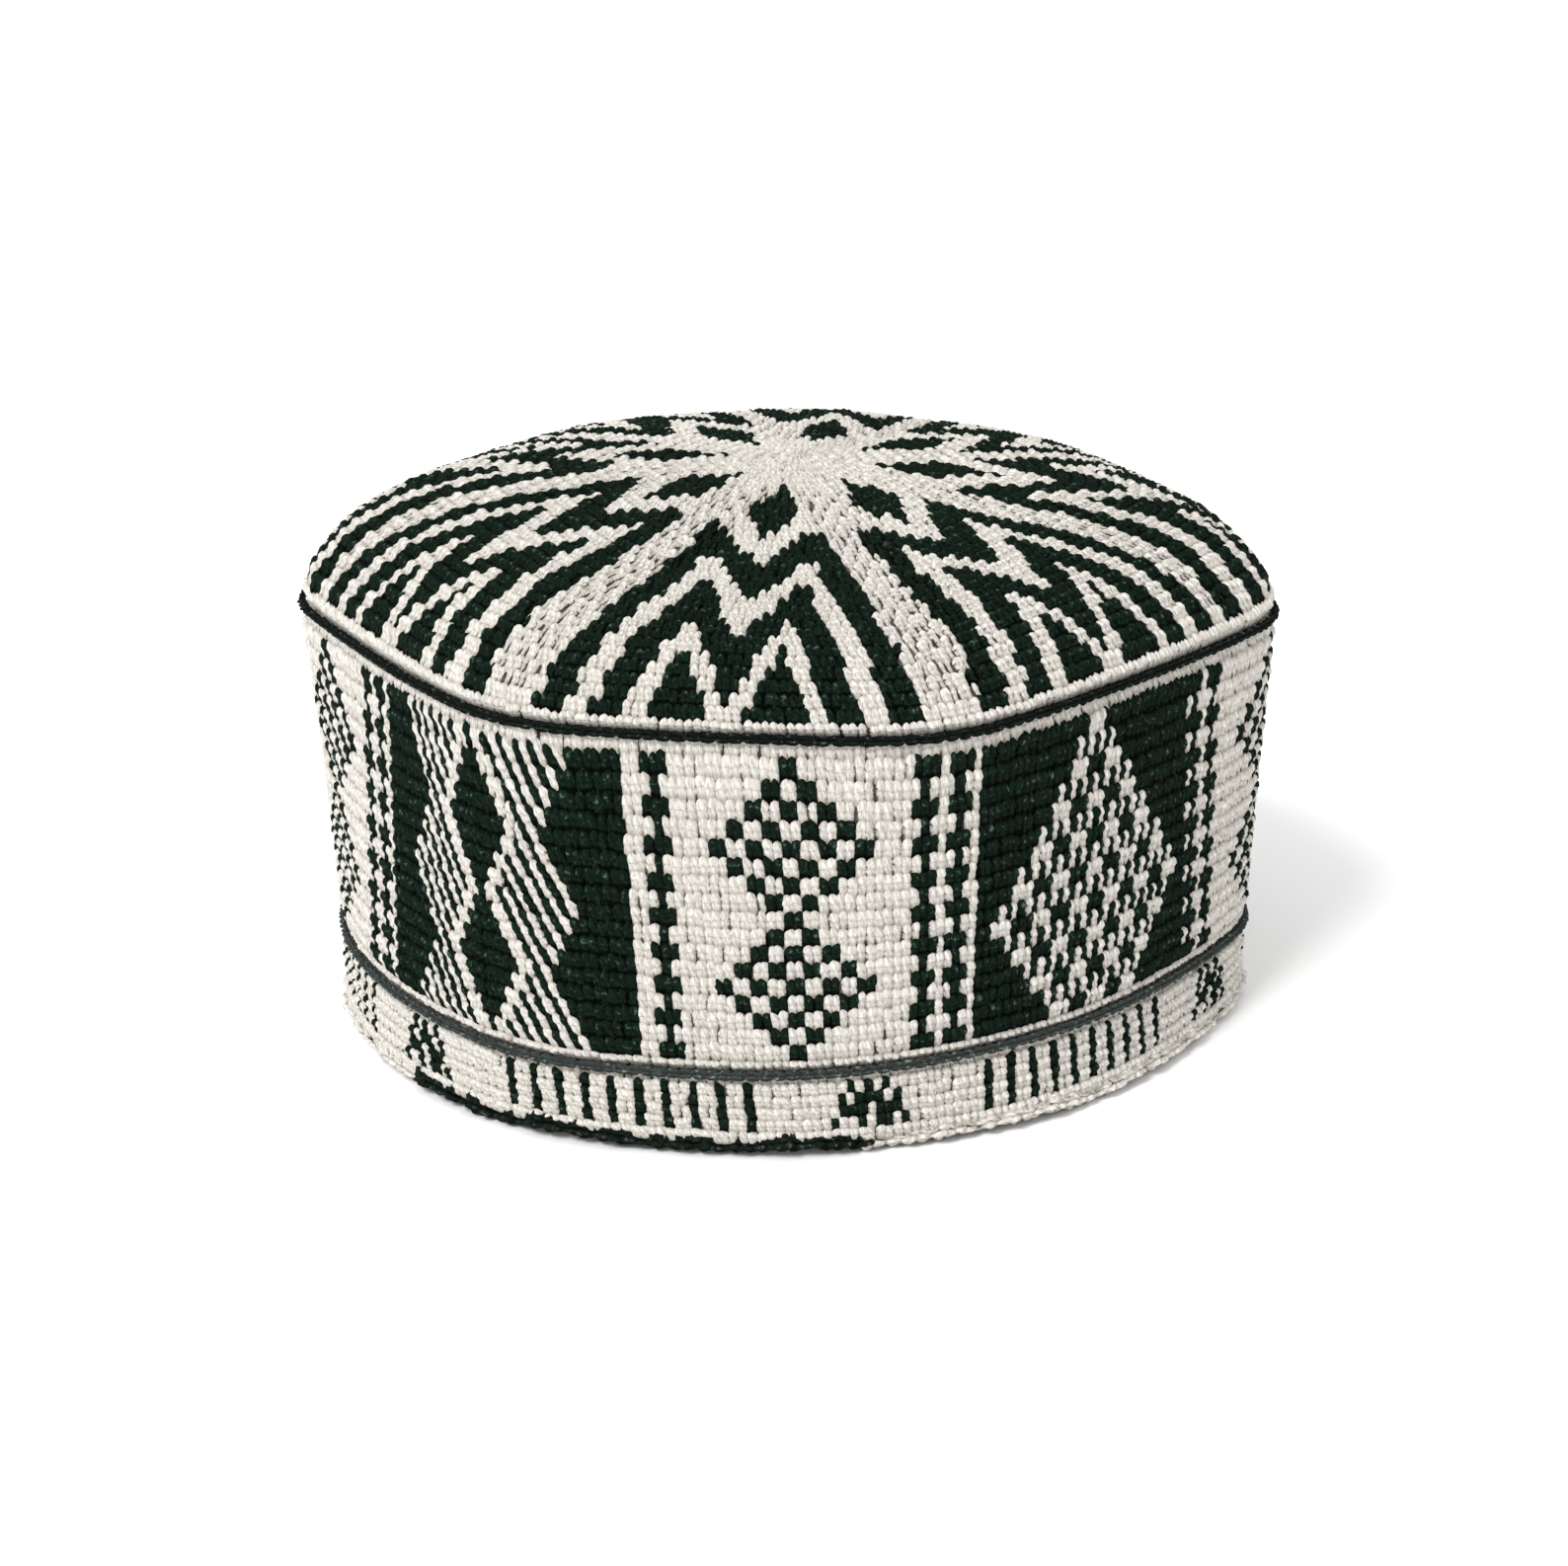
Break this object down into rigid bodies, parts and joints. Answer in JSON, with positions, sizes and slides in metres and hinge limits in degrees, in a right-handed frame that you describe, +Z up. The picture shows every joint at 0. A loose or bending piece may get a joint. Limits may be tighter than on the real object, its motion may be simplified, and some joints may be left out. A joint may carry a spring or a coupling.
{
  "type": "kufi cap",
  "caption": "Crocheted kufi: a rounded crown over a patterned upright band, with raised cords at its seams and a plain rim, open below for the head",
  "frame": {"origin": "centre of the box's base, on the plane that the rim rests on", "axes": "+Z up through the crown, -Y towards the front of the cap, +X towards the right of the picture"},
  "size_m": [0.2128, 0.2034, 0.1217],
  "materials": {
    "cream_crochet": "matt cotton crochet, cream with dark green figures",
    "panel_crochet": "matt cotton crochet, cream and dark green panels",
    "striped_crochet": "matt cotton crochet, cream with dark green stripes",
    "green_cord": "twisted dark green yarn",
    "grey_green_cord": "fuzzy grey green yarn",
    "hem_yarn": "bumpy crocheted edging"
  },
  "bodies": {
    "root": {"crown": "cream_crochet", "side_band": "panel_crochet", "lower_band": "striped_crochet", "top_cord": "green_cord", "lower_cord": "grey_green_cord", "hem_edging": "hem_yarn"}
  },
  "joints": []
}
